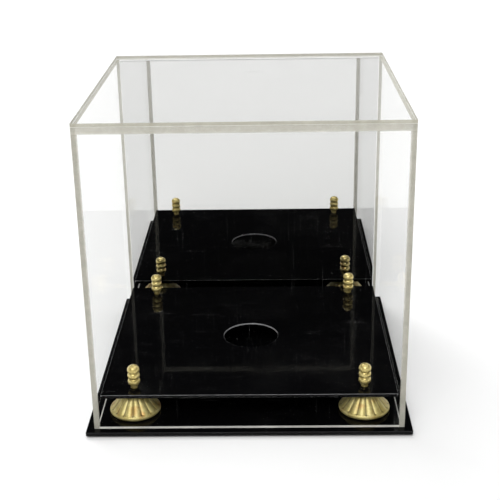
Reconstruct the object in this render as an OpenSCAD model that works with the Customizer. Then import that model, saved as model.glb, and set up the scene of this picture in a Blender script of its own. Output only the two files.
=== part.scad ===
// Football display case: a clear five-sided lift-off cover with a mirrored back, standing on a
// black base sheet. Four gilt risers carry a black platform with a round seat for the ball.
// Millimetres. +Z is up, +Y is the mirrored back, and the origin is the centre of the footprint
// on the surface that the case stands on.

/* [Sheet] */
// Thickness of every clear and black sheet
sheet_t = 3.2; // [3:0.1:4]

/* [Cover] */
// Outside width and depth of the clear cover
cover_w = 254; // [252:1:258]
// Outside height of the clear cover
cover_h = 257.3; // [240:0.1:290]

/* [Base] */
// Width and depth of the square base sheet
base_w = 266.7; // [266:0.1:280]
// Radius of the base sheet's corners
base_corner_r = 0.8; // [0.5:0.1:4]

/* [Platform] */
// Width of the platform, a loose fit between the cover's side walls
platform_w = 246; // [240:0.5:246]
// Depth of the platform, front to back
platform_d = 222; // [216:1:226]
// Height of the gap between the base sheet and the platform
riser_h = 18.8; // [18:0.2:22]
// Diameter of the hole that seats the ball
seat_d = 50; // [40:1:70]
// Radius of the platform's corners
platform_corner_r = 0.8; // [0.5:0.1:4]

/* [Risers] */
// Distance between the risers' centres, left to right and front to back
riser_spacing = 193; // [186:1:194]
// Number of petals round each riser
petal_count = 16; // [12:1:20]
// Largest radius of a riser, at its foot
riser_foot_r = 21.4; // [19:0.2:23]
// Radius of a riser's collar, under the platform
riser_collar_r = 9.2; // [8:0.2:11]

/* [Finials] */
// Largest radius of a finial nut
finial_r = 5.2; // [5:0.1:6.5]
// Height of a finial nut above the platform
finial_h = 20.2; // [19:0.2:22]

/* [Screws] */
// Diameter of the screw that clamps each riser
screw_d = 4; // [3.5:0.1:4.2]
// Length of the screw, with its countersunk head
screw_l = 38; // [36:0.5:39]

/* [Feet] */
// Diameter of each bumper foot
foot_d = 12.7; // [10:0.1:16]
// Height of each bumper foot
foot_h = 1.5; // [1:0.1:3]
// Distance of each foot's centre from the base sheet's edges
foot_inset = 16; // [12:1:20]

/* [Mirror] */
// Thickness of the mirror sheet
mirror_t = 3; // [2:0.1:3]
// Gap between the mirror sheet and each side wall
mirror_gap = 0.6; // [0.4:0.1:2]
// Thickness of the tape behind the mirror
tape_t = 0.8; // [0.5:0.1:1]
// Width of each strip of tape
tape_w = 19; // [12:1:25]

/* [Hidden] */
$fn = 96;

// Cuts run this far past the faces that they open
cut = 1;

// Levels, from the table up
base_z = foot_h;
base_top_z = base_z + sheet_t;
platform_z = base_top_z + riser_h;
platform_top_z = platform_z + sheet_t;
cover_top_z = base_top_z + cover_h - sheet_t;

// Cover
wall_inside = cover_w / 2 - sheet_t;
wall_h = cover_h - sheet_t;

// Mirror: it stands on nothing, and hangs from the tape on the back panel
mirror_w = 2 * (wall_inside - mirror_gap);
mirror_h = wall_h - 2 * mirror_gap;
mirror_back_y = wall_inside - tape_t;
tape_end_gap = 8;
tape_inset = 14;

// Screw: a 90 degree countersunk head that ends flush with the base sheet's underside
screw_head_r = screw_d;
screw_head_h = screw_head_r - screw_d / 2;
screw_hole_r = screw_d / 2 + 0.2;
recess_w = 1.1;
recess_l = 4.6;
recess_deep = 1.4;

// Riser: petals are cones laid round a core, between a rolled lip and a flat collar
lip_r = 2.2;
lip_z = 2.6;
lip_ring_r = riser_foot_r - lip_r;
collar_h = 1.4;
petal_foot = [riser_foot_r - 5.46, 0.16];
petal_top = [riser_collar_r - 2.65, riser_h - collar_h - 1.3];
petal_foot_r = 6.2;
petal_top_r = 2.9;
petal_run = petal_foot - petal_top;
petal_tilt = atan2(petal_run.x, -petal_run.y);
shell_t = 3.4;
boss_r = 5;

// Finial: a short neck and three beads, the top one rounded off as a cap, on a blind bore
neck_r = 3;
bead_r = 4;
bead_ring_r = finial_r - bead_r;
bead_step = 5.2;
bead_z = [for (i = [2 : -1 : 0]) finial_h - bead_r - i * bead_step];
finial_bore_r = screw_d / 2 + 0.05;
finial_bore_l = 13.5;

module rounded_sheet(w, d, t, r) {
    linear_extrude(t) {
        square([w - 2 * r, d], center = true);
        square([w, d - 2 * r], center = true);
        for (x = [-1, 1], y = [-1, 1])
            translate([x * (w / 2 - r), y * (d / 2 - r)]) circle(r);
    }
}

module at_each_riser() {
    for (x = [-1, 1], y = [-1, 1])
        translate([x * riser_spacing / 2, y * riser_spacing / 2, 0]) children();
}

module at_riser(x, y, z) {
    translate([x * riser_spacing / 2, y * riser_spacing / 2, z]) children();
}

// Base

module countersink() {
    translate([0, 0, -cut]) cylinder(h = sheet_t + 2 * cut, r = screw_hole_r);
    cylinder(h = screw_head_h, r1 = screw_head_r, r2 = screw_d / 2);
}

module base_plate() {
    color([0.03, 0.03, 0.035])
    translate([0, 0, base_z])
    difference() {
        rounded_sheet(base_w, base_w, sheet_t, base_corner_r);
        at_each_riser() countersink();
    }
}

module platform() {
    color([0.03, 0.03, 0.035])
    translate([0, 0, platform_z])
    difference() {
        rounded_sheet(platform_w, platform_d, sheet_t, platform_corner_r);
        translate([0, 0, -cut]) cylinder(h = sheet_t + 2 * cut, d = seat_d);
        at_each_riser()
            translate([0, 0, -cut]) cylinder(h = sheet_t + 2 * cut, r = screw_hole_r);
    }
}

module foot(x, y) {
    reach = base_w / 2 - foot_inset;
    color([0.75, 0.77, 0.78])
    translate([x * reach, y * reach, 0])
        cylinder(h = foot_h, d1 = foot_d, d2 = foot_d - 1);
}

// Risers

module riser_core() {
    rotate_extrude() {
        polygon([
            [0, 0], [lip_ring_r, 0], [lip_ring_r, lip_z + lip_r - 0.4],
            [riser_collar_r - 1, riser_h - collar_h],
            [riser_collar_r, riser_h - collar_h],
            [riser_collar_r, riser_h], [0, riser_h]
        ]);
        translate([lip_ring_r, lip_z]) circle(lip_r);
    }
}

module petals() {
    intersection() {
        for (i = [0 : petal_count - 1])
            rotate([0, 0, (i + 0.5) * 360 / petal_count])
                translate([petal_foot.x, 0, petal_foot.y])
                    rotate([0, -petal_tilt, 0])
                        cylinder(h = norm(petal_run), r1 = petal_foot_r, r2 = petal_top_r);
        cylinder(h = riser_h, r = riser_foot_r + lip_r);
    }
}

module riser_hollow() {
    rotate_extrude()
        polygon([
            [boss_r, -cut], [lip_ring_r - shell_t, -cut], [lip_ring_r - shell_t, lip_r],
            [boss_r + 1.2, riser_h - collar_h - shell_t], [boss_r, riser_h - collar_h - shell_t]
        ]);
}

module riser(x, y) {
    color([0.83, 0.73, 0.42])
    at_riser(x, y, base_top_z)
    difference() {
        union() {
            riser_core();
            petals();
        }
        translate([0, 0, -cut]) cylinder(h = riser_h + 2 * cut, r = screw_hole_r);
        riser_hollow();
    }
}

module screw(x, y) {
    color([0.7, 0.7, 0.72])
    at_riser(x, y, base_z)
    difference() {
        union() {
            cylinder(h = screw_head_h, r1 = screw_head_r, r2 = screw_d / 2);
            cylinder(h = screw_l, d = screw_d);
        }
        for (turn = [0, 90])
            rotate([0, 0, turn])
                translate([-recess_l / 2, -recess_w / 2, -cut])
                    cube([recess_l, recess_w, recess_deep + cut]);
    }
}

// Finials

module finial_profile() {
    square([neck_r, bead_z[0]]);
    square([bead_ring_r, finial_h]);
    intersection() {
        for (z = bead_z) translate([bead_ring_r, z]) circle(bead_r);
        square([finial_r, finial_h]);
    }
}

module finial(x, y) {
    color([0.86, 0.76, 0.44])
    at_riser(x, y, platform_top_z)
    difference() {
        rotate_extrude() finial_profile();
        translate([0, 0, -cut]) cylinder(h = finial_bore_l + cut, r = finial_bore_r);
    }
}

// Cover

module wall(w, d) {
    color([0.85, 0.88, 0.86, 0.35])
        translate([-w / 2, -d / 2, base_top_z]) cube([w, d, wall_h]);
}

module cover_top_panel() {
    color([0.85, 0.88, 0.86, 0.35])
        translate([-cover_w / 2, -cover_w / 2, cover_top_z]) cube([cover_w, cover_w, sheet_t]);
}

module cover_front_panel() {
    translate([0, -cover_w / 2 + sheet_t / 2, 0]) wall(cover_w, sheet_t);
}

module cover_back_panel() {
    translate([0, cover_w / 2 - sheet_t / 2, 0]) wall(cover_w, sheet_t);
}

module cover_side_panel(x) {
    translate([x * (cover_w / 2 - sheet_t / 2), 0, 0]) wall(sheet_t, 2 * wall_inside);
}

module mirror_sheet() {
    color([0.87, 0.87, 0.88])
    translate([-mirror_w / 2, mirror_back_y - mirror_t, base_top_z + mirror_gap])
        cube([mirror_w, mirror_t, mirror_h]);
}

module mirror_tape(x) {
    color([0.9, 0.9, 0.88])
    translate([
        x * (mirror_w / 2 - tape_inset - tape_w / 2) - tape_w / 2,
        mirror_back_y, base_top_z + mirror_gap + tape_end_gap
    ])
        cube([tape_w, tape_t, mirror_h - 2 * tape_end_gap]);
}

base_plate();
platform();
riser(-1, -1);  // riser_front_left
riser(1, -1);  // riser_front_right
riser(-1, 1);  // riser_rear_left
riser(1, 1);  // riser_rear_right
screw(-1, -1);  // screw_front_left
screw(1, -1);  // screw_front_right
screw(-1, 1);  // screw_rear_left
screw(1, 1);  // screw_rear_right
foot(-1, -1);  // foot_front_left
foot(1, -1);  // foot_front_right
foot(-1, 1);  // foot_rear_left
foot(1, 1);  // foot_rear_right
finial(-1, -1);  // finial_front_left
finial(1, -1);  // finial_front_right
finial(-1, 1);  // finial_rear_left
finial(1, 1);  // finial_rear_right
cover_top_panel();
cover_front_panel();
cover_back_panel();
cover_side_panel(-1);  // cover_left_panel
cover_side_panel(1);  // cover_right_panel
mirror_sheet();
mirror_tape(-1);  // mirror_tape_left
mirror_tape(1);  // mirror_tape_right
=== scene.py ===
"""Looks of the football display case: clear cover, mirror, black sheets and gilt risers.

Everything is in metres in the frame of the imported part: +Z up, -Y the front, +Y the mirrored back.
"""
import math

import bpy
from mathutils import Matrix, Vector


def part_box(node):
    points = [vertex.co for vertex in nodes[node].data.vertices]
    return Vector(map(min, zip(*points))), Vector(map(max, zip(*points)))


MM = 0.001

# Camera: where it stands, which way it looks, and its lens and sensor in millimetres
CAMERA_AT = Vector((0.0198, -0.8633, 0.4528))
CAMERA_YAW = math.radians(-1.28)
CAMERA_DOWN = math.radians(21.587)
CAMERA_ROLL = math.radians(-1.007)
CAMERA_LENS = 74.73
CAMERA_SENSOR = 36

# Room: its brightness by height above the horizon, in degrees, and the size of its floor
SKY = ((0, 1.0), (13, 1.0), (18.5, 0.015), (38, 0.015), (52, 1.0), (90, 1.0))
SKY_STRENGTH = 1.05
FLOOR_SIZE = 60

# Bands painted along the front panel's top and sides: a painted reflection of the seams behind it,
# mirrored inside the sheet
REFLECTED_SEAM_TOP = 5.6 * MM
REFLECTED_SEAM_SIDE = 4.2 * MM

# Sheets: the bevel on their arrises, the gap left between two that touch, and the welder's reach
EDGE_BEVEL = 0.25 * MM
TOUCH_GAP = 0.02 * MM
WELD_REACH = 0.002 * MM

# Edge tones of the clear sheets. The top panel's are darker as painted shade; it is the same acrylic
# as the walls
RIM_TONES = {
    "top": ((0.34, 0.325, 0.26, 1), (0.46, 0.445, 0.365, 1)),
    "wall": ((0.40, 0.385, 0.325, 1), (0.53, 0.515, 0.445, 1)),
}
PETAL_COUNT = 16
CORNERS = ("front_left", "front_right", "rear_left", "rear_right")

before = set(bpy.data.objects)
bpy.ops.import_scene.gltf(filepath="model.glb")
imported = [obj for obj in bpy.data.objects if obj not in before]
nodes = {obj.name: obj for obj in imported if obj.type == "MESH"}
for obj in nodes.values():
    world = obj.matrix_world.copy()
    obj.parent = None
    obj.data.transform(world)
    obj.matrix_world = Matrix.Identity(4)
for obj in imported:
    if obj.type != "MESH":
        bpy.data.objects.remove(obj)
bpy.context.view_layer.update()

# Risers: how far their centres stand from the middle, and the level at which the petals begin
riser_low, riser_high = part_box("riser_rear_right")
RISER_REACH = (riser_low.x + riser_high.x) / 2
PETALS_FROM = riser_low.z + 3.5 * MM


# Node graphs

class Graph:
    """The node tree of a material or a world, with short calls for the nodes that this script uses."""

    def __init__(self, owner):
        owner.use_nodes = True
        self.owner = owner
        self.tree = owner.node_tree
        self.tree.nodes.clear()
        self.coords = self.node("ShaderNodeTexCoord")

    @property
    def place(self):
        return self.coords.outputs["Object"]

    def feed(self, socket, value):
        """Links another node's output to a socket, or sets a constant on it."""
        if isinstance(value, bpy.types.NodeSocket):
            self.tree.links.new(value, socket)
        else:
            socket.default_value = value

    def node(self, kind, inputs=None, **settings):
        made = self.tree.nodes.new(kind)
        for key, value in settings.items():
            setattr(made, key, value)
        for key, value in (inputs or {}).items():
            self.feed(made.inputs[key], value)
        return made

    def calc(self, operation, a, b=0.0, c=0.0):
        return self.node("ShaderNodeMath", {0: a, 1: b, 2: c}, operation=operation).outputs[0]

    def parts(self, vector):
        return self.node("ShaderNodeSeparateXYZ", {0: vector}).outputs

    def stretched(self, scale):
        return self.node("ShaderNodeMapping", {"Vector": self.place, "Scale": scale}).outputs[0]

    def noise(self, scale, detail=2.0, roughness=0.5, vector=None):
        inputs = {
            "Vector": vector or self.place, "Scale": scale, "Detail": detail,
            "Roughness": roughness,
        }
        return self.node("ShaderNodeTexNoise", inputs).outputs[0]

    def span(self, value, low, high, to_low=0.0, to_high=1.0):
        """A smooth step from to_low at low to to_high at high."""
        inputs = {0: value, 1: low, 2: high, 3: to_low, 4: to_high}
        return self.node("ShaderNodeMapRange", inputs, interpolation_type="SMOOTHSTEP").outputs[0]

    def blend(self, factor, a, b):
        """A mix of two colours. In this node they are inputs 6 and 7, and the result is output 2."""
        made = self.node("ShaderNodeMix", data_type="RGBA")
        for index, value in ((0, factor), (6, a), (7, b)):
            self.feed(made.inputs[index], value)
        return made.outputs[2]

    def bump(self, height, strength, distance):
        inputs = {"Height": height, "Strength": strength, "Distance": distance}
        return self.node("ShaderNodeBump", inputs).outputs[0]

    def see_through(self, colour):
        return self.node("ShaderNodeBsdfTransparent", {"Color": colour}).outputs[0]

    def principled(self, **inputs):
        named = {key.replace("_", " "): value for key, value in inputs.items()}
        return self.node("ShaderNodeBsdfPrincipled", named).outputs[0]

    def mix(self, factor, a, b):
        return self.node("ShaderNodeMixShader", {0: factor, 1: a, 2: b}).outputs[0]

    def surface(self, shader):
        """Puts the shader on the material, and returns the material."""
        self.node("ShaderNodeOutputMaterial", {"Surface": shader})
        return self.owner


def material_graph(name):
    return Graph(bpy.data.materials.new(name))


# Patterns that several materials share

def reflectance(g):
    """Share of light that a clear face mirrors, the same from either side.

    It falls off more steeply than Schlick's curve, and to nothing under about 50 degrees, so the white
    room leaves neither a veil nor stray specks on the black behind it.
    """
    facing = g.node("ShaderNodeLayerWeight", {"Blend": 0.5}).outputs["Facing"]
    inputs = {0: g.calc("POWER", facing, 6.0), 1: 0.3, 2: -0.0008}
    return g.node("ShaderNodeMath", inputs, operation="MULTIPLY_ADD", use_clamp=True).outputs[0]


def smudges(g, least, most):
    """Roughness of a polished sheet that has been wiped and handled."""
    cloth = g.noise(7.0, 5.0, 0.6, g.stretched((3.0, 1.0, 1.6)))
    prints = g.noise(38.0, 4.0, 0.65)
    return g.span(g.calc("MULTIPLY", cloth, prints), 0.16, 0.42, least, most)


def hairlines(g, strength):
    """Fine wiping scratches in two directions."""
    one = g.noise(1.0, 2.0, 0.5, g.stretched((1800.0, 60.0, 90.0)))
    two = g.noise(1.0, 2.0, 0.5, g.stretched((70.0, 90.0, 1500.0)))
    return g.bump(g.calc("ADD", one, two), strength, 0.02 * MM)


def handling(g):
    """Sparse dust specks and a few hair-thin scratches, as a share of covered surface."""
    share = g.span(g.noise(1100.0, 1.0, 0.4), 0.76, 0.81, 0.0, 0.06)
    for scale in ((30.0, 34.0, 2300.0), (2300.0, 2100.0, 26.0)):
        line = g.noise(1.0, 0.0, 0.5, g.stretched(scale))
        share = g.calc("MAXIMUM", share, g.span(line, 0.80, 0.86, 0.0, 0.03))
    return share


# Clear sheets

def clear_face(g):
    """A see-through face with a weak gloss, wiping marks, dust and scratches."""
    marks = {"Roughness": smudges(g, 0.01, 0.06), "Normal": hairlines(g, 0.035)}
    gloss = g.node("ShaderNodeBsdfGlossy", marks).outputs[0]
    face = g.mix(reflectance(g), g.see_through((0.997, 0.998, 0.996, 1)), gloss)
    haze = g.node("ShaderNodeBsdfDiffuse", {"Color": (0.85, 0.85, 0.84, 1)}).outputs[0]
    return g.mix(handling(g), face, haze)


def sawn_rim(g, tones, lip, foot):
    """A sheet's edge: khaki and cloudy, with a painted highlight towards its arrises and a near-white
    painted highlight at its foot.
    """
    cloudy = g.noise(60.0, 4.0, 0.6)
    drawn = g.noise(900.0, 3.0, 0.6)
    colour = g.blend(cloudy, *tones)
    # Painted highlights: lighter towards the arrises (lip) and near-white at the foot, where the edge
    # catches the light
    colour = g.blend(lip, colour, (0.78, 0.77, 0.70, 1))
    colour = g.blend(foot, colour, (0.74, 0.73, 0.69, 1))
    piped = g.principled(
        Base_Color=colour, Roughness=g.span(drawn, 0.3, 0.7, 0.12, 0.32),
        Normal=g.bump(drawn, 0.25, 0.03 * MM), IOR=1.49,
    )
    through = g.see_through((0.90, 0.89, 0.82, 1))
    return g.mix(g.span(cloudy, 0.3, 0.7, 0.70, 0.90), through, piped)


def painted_seam_reflections(g, x, z, low, high):
    """How much painted reflection of the rim shows on the front panel, along its top and its two
    sides.
    """
    blur_top = 0.4 * MM
    blur_side = 0.3 * MM
    return (
        g.span(z, high.z - REFLECTED_SEAM_TOP, high.z - REFLECTED_SEAM_TOP + blur_top, 0.0, 0.75),
        g.span(x, low.x + REFLECTED_SEAM_SIDE + blur_side, low.x + REFLECTED_SEAM_SIDE, 0.0, 0.6),
        g.span(x, high.x - REFLECTED_SEAM_SIDE - blur_side, high.x - REFLECTED_SEAM_SIDE, 0.0, 0.6),
    )


def clear_acrylic(name, thin, box):
    """Clear sheet whose faces look along the axis thin. Its sawn and flamed edges gather light."""
    g = material_graph(name)
    low, high = box
    axis = "XYZ".index(thin)
    places = g.parts(g.place)
    x, y, z = places
    middle = (low[axis] + high[axis]) / 2
    half = (high[axis] - low[axis]) / 2
    depth = g.calc("ABSOLUTE", g.calc("SUBTRACT", places[axis], middle))
    # lip and foot mark where the rim gets its painted highlights
    lip = g.span(depth, 0.55 * half, half, 0.0, 0.2)
    foot = g.span(z, low.z + 0.3 * MM, low.z + 0.6 * MM, 1.0, 0.0)

    squarely = g.calc("ABSOLUTE", g.parts(g.coords.outputs["Normal"])[axis])
    edge = g.span(squarely, 0.55, 0.8, 1.0, 0.0)
    if thin == "X":
        # Looking down past a side wall, only the inner arris of its foot shows, so the painted foot
        # highlight stays only there
        inner = min(abs(low.x), abs(high.x))
        past = g.span(g.calc("ABSOLUTE", x), inner + 0.9 * MM, inner + 1.2 * MM)
        hidden = g.calc("MULTIPLY", past, foot)
        edge = g.calc("MULTIPLY", edge, g.calc("SUBTRACT", 1.0, hidden))
    if thin == "Y" and low.y < 0:
        # The front panel gets painted reflections of the seams behind it, in the rim's colour
        for seam_reflection in painted_seam_reflections(g, x, z, low, high):
            edge = g.calc("MAXIMUM", edge, seam_reflection)
    # The top panel takes the darker, painted-shade rim tones
    rim = sawn_rim(g, RIM_TONES["top" if thin == "Z" else "wall"], lip, foot)
    return g.surface(g.mix(edge, clear_face(g), rim))


# Other materials

def black_acrylic(name, arris_highlight):
    """Opaque black sheet with a deep gloss, a painted highlight on its upward-facing arrises, faint
    wiping marks and a little dust.
    """
    g = material_graph(name)
    dust = g.span(g.noise(900.0, 1.0, 0.4), 0.74, 0.80, 0.0, 0.04)
    veil = g.span(g.noise(16.0, 5.0, 0.6), 0.45, 0.8, 0.0, 0.003)
    dusty = g.calc("ADD", veil, dust)
    colour = g.blend(dusty, (0.0015, 0.0015, 0.0018, 1), (0.9, 0.9, 0.88, 1))
    # Painted highlight: upward-facing bevels are coloured lighter, as if lit from above; the lower
    # arrises stay black
    up = g.parts(g.coords.outputs["Normal"])[2]
    slant = g.calc("MINIMUM", up, g.calc("SUBTRACT", 1.0, up))
    arris = g.span(slant, 0.04, 0.12)
    highlight_breakup = g.span(g.noise(260.0, 3.0, 0.6), 0.3, 0.7, 0.6, 1.0)
    colour = g.blend(g.calc("MULTIPLY", arris, highlight_breakup), colour, arris_highlight)
    rough = g.calc("MULTIPLY_ADD", arris, 0.25, smudges(g, 0.015, 0.09))
    return g.surface(g.principled(
        Base_Color=colour, Roughness=rough, Normal=hairlines(g, 0.05), IOR=1.49,
        Specular_IOR_Level=0.12,
    ))


def painted_groove_shade(g, petals):
    """Share of painted shade darkening the grooves between a riser's petals, which it holds above its
    lip.
    """
    x, y, z = g.parts(g.place)
    x = g.calc("SUBTRACT", g.calc("ABSOLUTE", x), RISER_REACH)
    y = g.calc("SUBTRACT", g.calc("ABSOLUTE", y), RISER_REACH)
    turn = g.calc("MULTIPLY", g.calc("ARCTAN2", y, x), float(petals))
    groove = g.span(g.calc("COSINE", turn), 0.84, 1.0, 0.0, 0.7)
    above = g.span(z, PETALS_FROM, PETALS_FROM + 1.2 * MM)
    return g.calc("MULTIPLY", groove, above)


def gilt(name, deep, light, stain, rough, relief, petals=0):
    """Lacquered gilt plating with warm stains, and grain on a casting or turning marks on a nut."""
    g = material_graph(name)
    patches = g.noise(160.0, 4.0, 0.6)
    grain = g.noise(2400.0, 2.0, 0.5)
    colour = g.blend(g.span(patches, 0.3, 0.72), deep, light)
    warm = g.span(g.noise(75.0, 3.0, 0.6), 0.53, 0.68, 0.0, 0.7)
    colour = g.blend(warm, colour, stain)
    worn = g.calc("ADD", g.span(patches, 0.3, 0.75, *rough), g.span(grain, 0.3, 0.7, 0.0, 0.06))
    if petals:
        # Painted shade: the grooves between the petals are darkened with a dark brown
        colour = g.blend(painted_groove_shade(g, petals), colour, (0.13, 0.095, 0.035, 1))
        fine = grain
    else:
        fine = g.noise(1.0, 2.0, 0.5, g.stretched((250.0, 250.0, 5200.0)))
    height = g.calc("MULTIPLY_ADD", patches, relief, g.calc("MULTIPLY", fine, 0.3))
    return g.surface(g.principled(
        Base_Color=colour, Metallic=0.6, Roughness=worn, Coat_Weight=0.2, Coat_Roughness=0.12,
        Normal=g.bump(height, 0.35, 0.12 * MM),
    ))


def mirror_acrylic():
    """Silvered sheet: a mirror in front, and grey backing paint on its back and its cut edges."""
    g = material_graph("mirror_acrylic")
    y = g.parts(g.coords.outputs["Normal"])[1]
    front = g.principled(
        Base_Color=(0.70, 0.70, 0.695, 1), Metallic=1.0, Roughness=smudges(g, 0.004, 0.03),
        Normal=g.bump(g.noise(9.0, 1.0, 0.4), 0.05, 0.3 * MM),
    )
    roller = g.noise(700.0, 4.0, 0.6)
    tone = g.blend(g.noise(20.0, 4.0, 0.6), (0.20, 0.205, 0.215, 1), (0.27, 0.275, 0.285, 1))
    backing = g.principled(
        Base_Color=tone, Roughness=g.span(roller, 0.3, 0.7, 0.5, 0.7),
        Normal=g.bump(roller, 0.4, 0.05 * MM),
    )
    return g.surface(g.mix(g.span(y, -0.6, -0.4), front, backing))


def zinc_steel():
    """Zinc-plated screw steel with turning marks round its axis."""
    g = material_graph("zinc_screw")
    marks = g.noise(1.0, 3.0, 0.6, g.stretched((300.0, 300.0, 9000.0)))
    tone = g.blend(g.noise(500.0, 3.0, 0.6), (0.50, 0.51, 0.53, 1), (0.70, 0.70, 0.68, 1))
    return g.surface(g.principled(
        Base_Color=tone, Metallic=1.0, Roughness=g.span(marks, 0.3, 0.7, 0.22, 0.42),
        Normal=g.bump(marks, 0.3, 0.03 * MM),
    ))


def clear_bumper():
    """Soft cast polyurethane, water-clear but clouded by its skin."""
    g = material_graph("clear_bumper")
    skin = g.noise(400.0, 4.0, 0.6)
    body = g.principled(
        Base_Color=g.blend(skin, (0.62, 0.63, 0.62, 1), (0.78, 0.79, 0.77, 1)),
        Roughness=g.span(skin, 0.3, 0.7, 0.25, 0.45), Normal=g.bump(skin, 0.2, 0.05 * MM),
    )
    clear = g.see_through((0.9, 0.91, 0.9, 1))
    return g.surface(g.mix(g.span(skin, 0.3, 0.7, 0.5, 0.75), clear, body))


def foam_tape():
    """Closed-cell white foam tape."""
    g = material_graph("foam_tape")
    cells = g.node("ShaderNodeTexVoronoi", {"Vector": g.place, "Scale": 1300.0}).outputs[0]
    tone = g.blend(g.noise(90.0, 4.0, 0.6), (0.70, 0.70, 0.66, 1), (0.84, 0.84, 0.80, 1))
    return g.surface(g.principled(
        Base_Color=tone, Roughness=g.span(cells, 0.0, 0.8, 0.75, 0.95),
        Normal=g.bump(cells, 0.5, 0.1 * MM),
    ))


# Carried-over parts

def paint(node, material):
    mesh = nodes[node].data
    mesh.materials.clear()
    mesh.materials.append(material)


def soften(node):
    """A fine arris on a sheet's sawn edges, and a hair's breadth between sheets that touch.

    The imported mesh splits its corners, so they are welded first.
    """
    weld = nodes[node].modifiers.new("weld", "WELD")
    weld.merge_threshold = WELD_REACH
    gap = nodes[node].modifiers.new("gap", "DISPLACE")
    gap.mid_level = 0
    gap.strength = -TOUCH_GAP
    bevel = nodes[node].modifiers.new("arris", "BEVEL")
    bevel.width = EDGE_BEVEL
    bevel.segments = 2
    bevel.limit_method = "ANGLE"
    bevel.angle_limit = math.radians(50)
    bevel.harden_normals = True
    bevel.use_clamp_overlap = False
    bevel.loop_slide = False


def finish_stand():
    # One black acrylic: the platform's arrises get a strong painted highlight, the base's a faint one
    base_black = black_acrylic("black_acrylic_base", (0.03, 0.03, 0.032, 1))
    platform_black = black_acrylic("black_acrylic_platform", (0.34, 0.34, 0.35, 1))
    for node, black in (("base_plate", base_black), ("platform", platform_black)):
        paint(node, black)
        soften(node)
    casting = gilt(
        "gilt_casting", (0.48, 0.385, 0.12, 1), (0.70, 0.61, 0.265, 1), (0.50, 0.27, 0.07, 1),
        rough=(0.38, 0.52), relief=0.5, petals=PETAL_COUNT,
    )
    nut = gilt(
        "gilt_nut", (0.50, 0.39, 0.12, 1), (0.76, 0.63, 0.26, 1), (0.54, 0.32, 0.09, 1),
        rough=(0.18, 0.30), relief=0.08,
    )
    steel = zinc_steel()
    bumper = clear_bumper()
    for corner in CORNERS:
        paint("riser_" + corner, casting)
        paint("finial_" + corner, nut)
        paint("screw_" + corner, steel)
        paint("foot_" + corner, bumper)


def finish_cover():
    for side, thin in (("left", "X"), ("right", "X"), ("front", "Y"), ("back", "Y"), ("top", "Z")):
        panel = f"cover_{side}_panel"
        paint(panel, clear_acrylic(f"clear_acrylic_{side}", thin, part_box(panel)))
        soften(panel)
    paint("mirror_sheet", mirror_acrylic())
    tape = foam_tape()
    for side in ("left", "right"):
        paint("mirror_tape_" + side, tape)


# Stage

def floor():
    g = material_graph("floor")
    tone = g.blend(g.noise(3.0, 3.0, 0.5), (0.90, 0.90, 0.90, 1), (0.92, 0.92, 0.92, 1))
    bpy.ops.mesh.primitive_plane_add(size=FLOOR_SIZE)
    plane = bpy.context.object
    plane.name = "floor"
    matt = g.principled(Base_Color=tone, Roughness=0.9, Specular_IOR_Level=0.1)
    plane.data.materials.append(g.surface(matt))


def sky():
    """A white room with a bright ceiling and a dark ring of flags round it, half way up.

    Black gloss seen from above mirrors the ring and stays black. The camera sees plain white.
    """
    world = bpy.data.worlds.new("studio")
    bpy.context.scene.world = world
    g = Graph(world)
    height = g.parts(g.coords.outputs["Generated"])[2]
    ramp = g.node("ShaderNodeValToRGB", {0: height})
    ramp.color_ramp.interpolation = "EASE"
    stops = ramp.color_ramp.elements
    while len(stops) < len(SKY):
        stops.new(1.0)
    for stop, (angle, value) in zip(stops, SKY):
        stop.position = math.sin(math.radians(angle))
        stop.color = (value, value, value, 1)
    lit, plain = (
        g.node("ShaderNodeBackground", {"Color": colour, "Strength": SKY_STRENGTH}).outputs[0]
        for colour in (ramp.outputs[0], (1, 1, 1, 1))
    )
    seen = g.node("ShaderNodeLightPath").outputs["Is Camera Ray"]
    g.node("ShaderNodeOutputWorld", {"Surface": g.mix(seen, lit, plain)})


def sun(name, towards, strength, spread, glossy=True):
    lamp = bpy.data.lights.new(name, "SUN")
    lamp.energy = strength
    lamp.angle = math.radians(spread)
    holder = bpy.data.objects.new(name, lamp)
    bpy.context.scene.collection.objects.link(holder)
    holder.rotation_euler = Vector(towards).to_track_quat("-Z", "Y").to_euler()
    holder.visible_glossy = glossy


def camera():
    level = math.cos(CAMERA_DOWN)
    ahead = Vector((
        math.sin(CAMERA_YAW) * level, math.cos(CAMERA_YAW) * level, -math.sin(CAMERA_DOWN),
    ))
    right = Vector((math.cos(CAMERA_YAW), -math.sin(CAMERA_YAW), 0))
    up = right.cross(ahead)
    rolled_right = right * math.cos(CAMERA_ROLL) + up * math.sin(CAMERA_ROLL)
    rolled_up = up * math.cos(CAMERA_ROLL) - right * math.sin(CAMERA_ROLL)
    lens = bpy.data.cameras.new("camera")
    lens.sensor_width = CAMERA_SENSOR
    lens.lens = CAMERA_LENS
    lens.clip_start = 0.01
    lens.clip_end = 100
    holder = bpy.data.objects.new("camera", lens)
    bpy.context.scene.collection.objects.link(holder)
    turn = Matrix((rolled_right, rolled_up, -ahead)).transposed().to_4x4()
    holder.matrix_world = Matrix.Translation(CAMERA_AT) @ turn
    bpy.context.scene.camera = holder


def light_paths():
    scene = bpy.context.scene
    scene.view_settings.view_transform = "Standard"
    scene.cycles.use_denoising = True
    scene.cycles.max_bounces = 16
    scene.cycles.glossy_bounces = 8
    scene.cycles.transparent_max_bounces = 48
    scene.cycles.caustics_reflective = False


finish_stand()
finish_cover()
floor()
sky()
sun("key", (0.15, 0.66, -0.73), 1.25, 35)
sun("back", (0.35, -0.75, -0.56), 1.9, 50, glossy=False)
camera()
light_paths()
